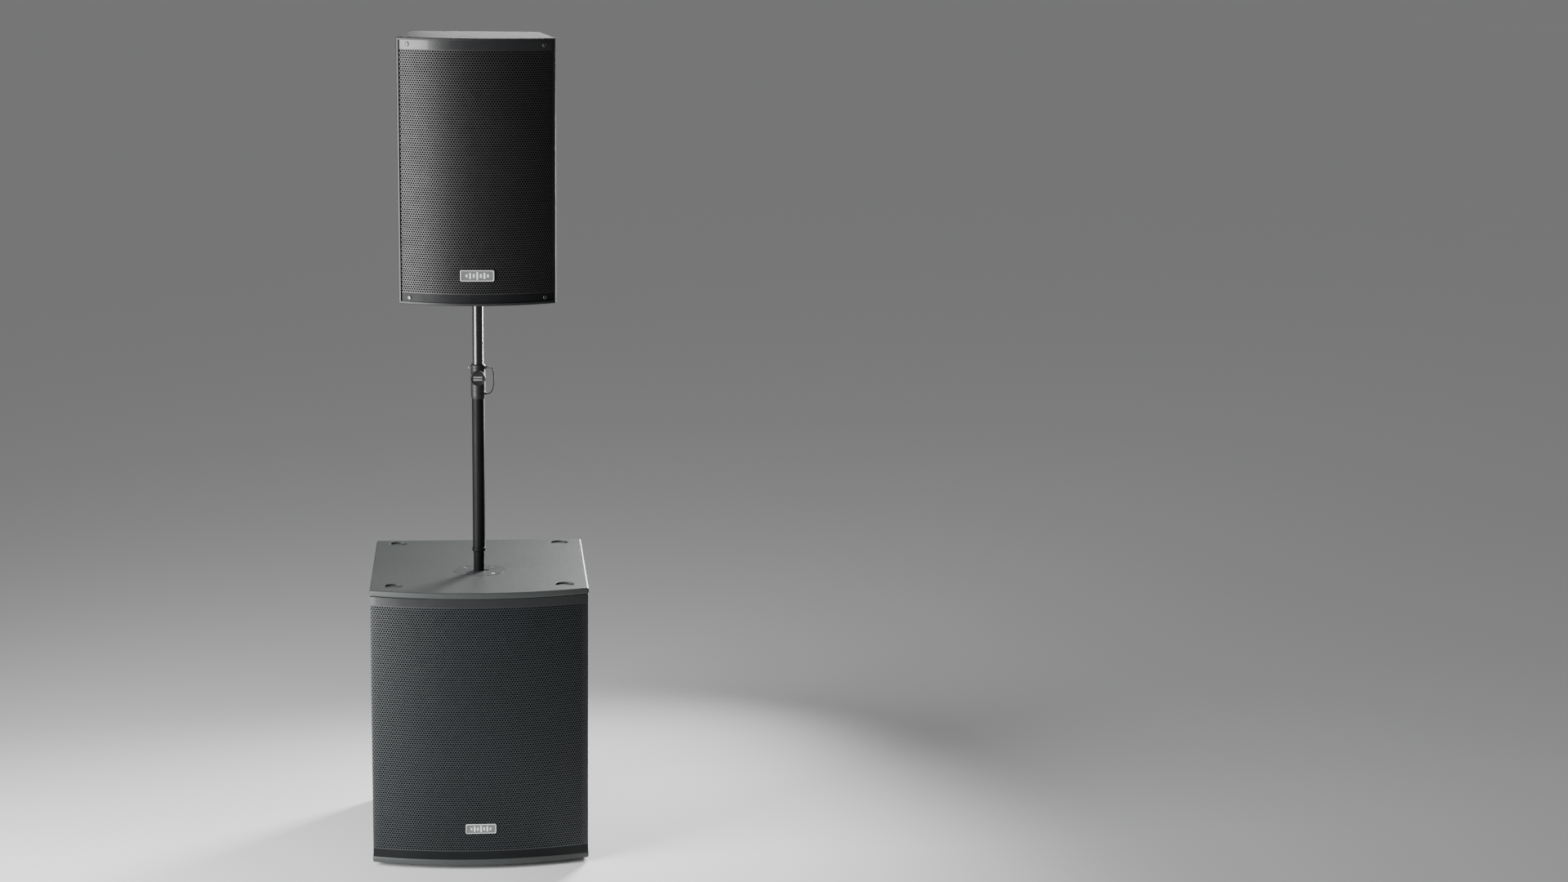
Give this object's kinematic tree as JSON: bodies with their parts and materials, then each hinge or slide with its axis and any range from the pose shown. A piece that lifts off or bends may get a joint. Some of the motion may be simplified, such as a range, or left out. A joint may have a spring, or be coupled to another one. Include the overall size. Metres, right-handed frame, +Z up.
{
  "type": "pa speaker",
  "caption": "Speaker stack: wooden subwoofer with a perforated curved front, telescopic distance pole with clamp and safety pin, and a moulded two-way top speaker.",
  "frame": {"origin": "centre of the stack's bounding box on the floor, under its feet", "axes": "+Z up, front grilles towards -Y, controls and sockets towards +Y, +X to the right as seen from the front"},
  "size_m": [0.604, 0.686, 2.303],
  "materials": {
    "wood_paint": "birch plywood under hard textured paint, matt, dark slate grey",
    "moulded_plastic": "black moulded plastic, fine grain, satin",
    "grille_paint": "perforated steel sheet, black powder coat, satin",
    "badge_metal": "brushed plate with a dark plain centre, no lettering",
    "rubber_black": "black rubber, matt",
    "cast_frame": "die-cast frame, black, satin",
    "plain_steel": "plain steel",
    "plate_paint": "steel plate, dark grey paint, satin",
    "tube_paint": "black steel tube, glossy",
    "zinc_steel": "black zinc-plated steel",
    "brass_pad": "plain brass",
    "cord_black": "black round cord",
    "cone_paper": "black pressed paper cone and cap, matt",
    "panel_paint": "aluminium plate with cooling fins, black, satin",
    "socket_plastic": "black plastic, satin",
    "control_plastic": "black plastic, slightly glossy",
    "circuit_board": "green board with its components",
    "black_screw": "black steel"
  },
  "bodies": {
    "base": {"sub_top_panel": "wood_paint", "sub_bottom_panel": "wood_paint", "sub_left_side": "wood_paint", "sub_right_side": "wood_paint", "sub_back_panel": "wood_paint", "sub_port_shelf": "wood_paint", "sub_baffle": "wood_paint", "sub_left_handle": "moulded_plastic", "sub_right_handle": "moulded_plastic", "clamp_collar": "moulded_plastic", "sub_grille": "grille_paint", "sub_badge": "badge_metal", "sub_foot_1": "rubber_black", "sub_foot_2": "rubber_black", "sub_foot_3": "rubber_black", "sub_foot_4": "rubber_black", "sub_woofer_surround": "rubber_black", "sub_woofer_basket": "cast_frame", "sub_woofer_magnet": "plain_steel", "pole_plate": "plate_paint", "pole_foot": "tube_paint", "lower_tube": "tube_paint", "pin_lanyard": "cord_black", "sub_amp_panel": "panel_paint", "sub_signal_sockets": "socket_plastic", "sub_mains_inlet": "socket_plastic", "sub_amp_board": "circuit_board"},
    "upper_pole": {"upper_tube": "tube_paint", "pole_top_sleeve": "moulded_plastic"},
    "top_speaker": {"top_cabinet_shell": "moulded_plastic", "top_baffle": "moulded_plastic", "horn": "moulded_plastic", "top_pole_socket": "moulded_plastic", "top_grille": "grille_paint", "top_badge": "badge_metal", "top_woofer_surround": "rubber_black", "top_woofer_basket": "cast_frame", "top_woofer_magnet": "plain_steel", "horn_driver": "plain_steel", "top_amp_panel": "panel_paint", "top_signal_sockets": "socket_plastic", "top_mains_inlet": "socket_plastic", "top_amp_board": "circuit_board", "grille_screw_1": "black_screw", "grille_screw_2": "black_screw", "grille_screw_3": "black_screw", "grille_screw_4": "black_screw"},
    "clamp_pad": {"clamp_pad": "brass_pad"},
    "clamp_knob": {"clamp_knob": "moulded_plastic"},
    "safety_pin": {"safety_pin": "zinc_steel"},
    "sub_cone": {"sub_woofer_cone": "cone_paper"},
    "top_cone": {"top_woofer_cone": "cone_paper"},
    "sub_level_knob": {"sub_level_knob": "control_plastic"},
    "sub_tone_knob": {"sub_tone_knob": "control_plastic"},
    "sub_mode_switch": {"sub_mode_switch": "control_plastic"},
    "sub_power_rocker": {"sub_power_rocker": "control_plastic"},
    "top_level_knob": {"top_level_knob": "control_plastic"},
    "top_tone_knob": {"top_tone_knob": "control_plastic"},
    "top_mode_switch": {"top_mode_switch": "control_plastic"},
    "top_power_rocker": {"top_power_rocker": "control_plastic"}
  },
  "joints": [
    {"name": "pole_height", "type": "slide", "parent": "base", "child": "upper_pole", "axis": [0, 0, 1], "range_m": [-0.12, 0.24]},
    {"name": "speaker_swivel", "type": "hinge", "parent": "upper_pole", "child": "top_speaker", "pos_m": [0, -0.061, 1.65], "axis": [0, 0, 1], "continuous": true},
    {"name": "clamp_pad_slide", "type": "slide", "parent": "base", "child": "clamp_pad", "axis": [0, -1, 0], "range_m": [0, 0.003]},
    {"name": "clamp_knob_turn", "type": "hinge", "parent": "clamp_pad", "child": "clamp_knob", "pos_m": [0, -0.061, 1.353], "axis": [0, -1, 0], "range_deg": [0, 720]},
    {"name": "pin_pull", "type": "slide", "parent": "base", "child": "safety_pin", "axis": [1, 0, 0], "range_m": [0, 0.06], "deforming": ["pin_lanyard"]},
    {"name": "sub_cone_travel", "type": "slide", "parent": "base", "child": "sub_cone", "axis": [0, -1, 0], "range_m": [-0.006, 0.006], "stiffness_N_per_m": 3000},
    {"name": "top_cone_travel", "type": "slide", "parent": "top_speaker", "child": "top_cone", "axis": [0, -1, 0], "range_m": [-0.004, 0.004], "stiffness_N_per_m": 2500},
    {"name": "sub_level_knob_turn", "type": "hinge", "parent": "base", "child": "sub_level_knob", "pos_m": [-0.07, 0.3343, 0.575], "axis": [0, 1, 0], "range_deg": [-150, 150]},
    {"name": "sub_tone_knob_turn", "type": "hinge", "parent": "base", "child": "sub_tone_knob", "pos_m": [-0.035, 0.3343, 0.575], "axis": [0, 1, 0], "range_deg": [-150, 150]},
    {"name": "sub_power_rocker_tilt", "type": "hinge", "parent": "base", "child": "sub_power_rocker", "pos_m": [-0.05, 0.3328, 0.255], "axis": [1, 0, 0], "range_deg": [-24, 0]},
    {"name": "sub_mode_switch_slide", "type": "slide", "parent": "base", "child": "sub_mode_switch", "axis": [0, 0, 1], "range_m": [0, 0.005]},
    {"name": "top_level_knob_turn", "type": "hinge", "parent": "top_speaker", "child": "top_level_knob", "pos_m": [-0.07, 0.1473, 1.995], "axis": [0, 1, 0], "range_deg": [-150, 150]},
    {"name": "top_tone_knob_turn", "type": "hinge", "parent": "top_speaker", "child": "top_tone_knob", "pos_m": [-0.035, 0.1473, 1.995], "axis": [0, 1, 0], "range_deg": [-150, 150]},
    {"name": "top_power_rocker_tilt", "type": "hinge", "parent": "top_speaker", "child": "top_power_rocker", "pos_m": [-0.05, 0.1458, 1.695], "axis": [1, 0, 0], "range_deg": [-24, 0]},
    {"name": "top_mode_switch_slide", "type": "slide", "parent": "top_speaker", "child": "top_mode_switch", "axis": [0, 0, 1], "range_m": [0, 0.005]}
  ],
  "couplings": [
    {"joint": "clamp_knob_turn", "follows": "clamp_pad_slide", "rad_per_m": 4188.8}
  ]
}
